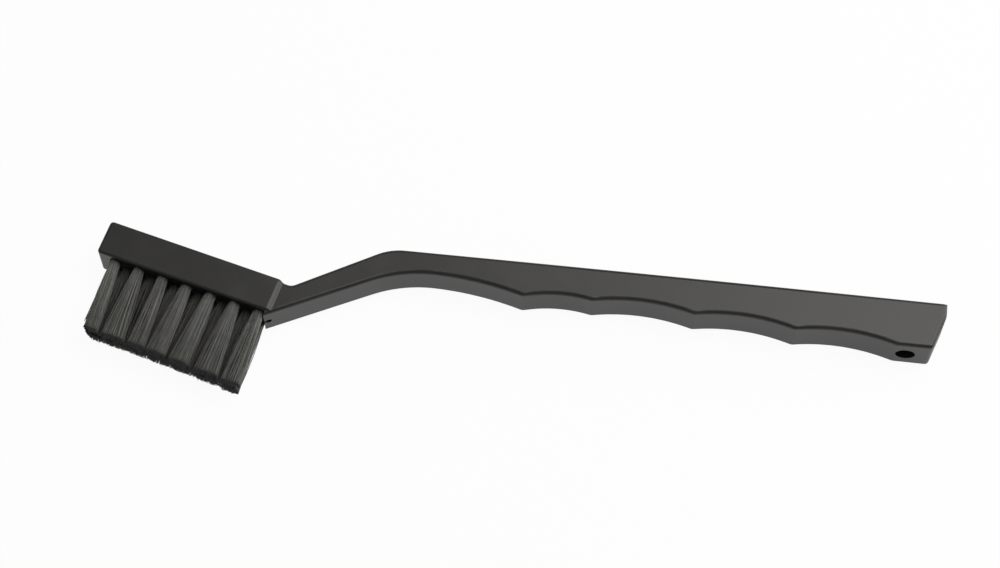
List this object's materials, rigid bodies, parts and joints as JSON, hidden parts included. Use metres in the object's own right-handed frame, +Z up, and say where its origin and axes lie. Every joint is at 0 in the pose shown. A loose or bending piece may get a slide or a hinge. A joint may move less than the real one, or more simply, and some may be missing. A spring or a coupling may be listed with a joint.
{
  "type": "crevice brush",
  "caption": "Slim one-piece moulded crevice brush: cranked neck, finger-scalloped grip with a hang hole, and a narrow head set with short rows of bristle tufts.",
  "frame": {"origin": "centre of the bottom of the bounding box, with the brush lying on its side", "axes": "+X along the brush from the bristle head to the end of the handle, bristles towards -Y, +Z up through the thickness"},
  "size_m": [0.1818, 0.0344, 0.0098],
  "materials": {
    "handle_plastic": "black moulded plastic, satin",
    "bristle_nylon": "dark grey nylon filament, satin",
    "anchor_metal": "bare flat steel strip"
  },
  "bodies": {
    "root": {"handle": "handle_plastic", "tuft_upper_1": "bristle_nylon", "tuft_upper_2": "bristle_nylon", "tuft_upper_3": "bristle_nylon", "tuft_upper_4": "bristle_nylon", "tuft_upper_5": "bristle_nylon", "tuft_upper_6": "bristle_nylon", "tuft_upper_7": "bristle_nylon", "tuft_middle_1": "bristle_nylon", "tuft_middle_2": "bristle_nylon", "tuft_middle_3": "bristle_nylon", "tuft_middle_4": "bristle_nylon", "tuft_middle_5": "bristle_nylon", "tuft_middle_6": "bristle_nylon", "tuft_lower_1": "bristle_nylon", "tuft_lower_2": "bristle_nylon", "tuft_lower_3": "bristle_nylon", "tuft_lower_4": "bristle_nylon", "tuft_lower_5": "bristle_nylon", "tuft_lower_6": "bristle_nylon", "tuft_lower_7": "bristle_nylon", "anchor_upper_1": "anchor_metal", "anchor_upper_2": "anchor_metal", "anchor_upper_3": "anchor_metal", "anchor_upper_4": "anchor_metal", "anchor_upper_5": "anchor_metal", "anchor_upper_6": "anchor_metal", "anchor_upper_7": "anchor_metal", "anchor_middle_1": "anchor_metal", "anchor_middle_2": "anchor_metal", "anchor_middle_3": "anchor_metal", "anchor_middle_4": "anchor_metal", "anchor_middle_5": "anchor_metal", "anchor_middle_6": "anchor_metal", "anchor_lower_1": "anchor_metal", "anchor_lower_2": "anchor_metal", "anchor_lower_3": "anchor_metal", "anchor_lower_4": "anchor_metal", "anchor_lower_5": "anchor_metal", "anchor_lower_6": "anchor_metal", "anchor_lower_7": "anchor_metal"}
  },
  "joints": []
}
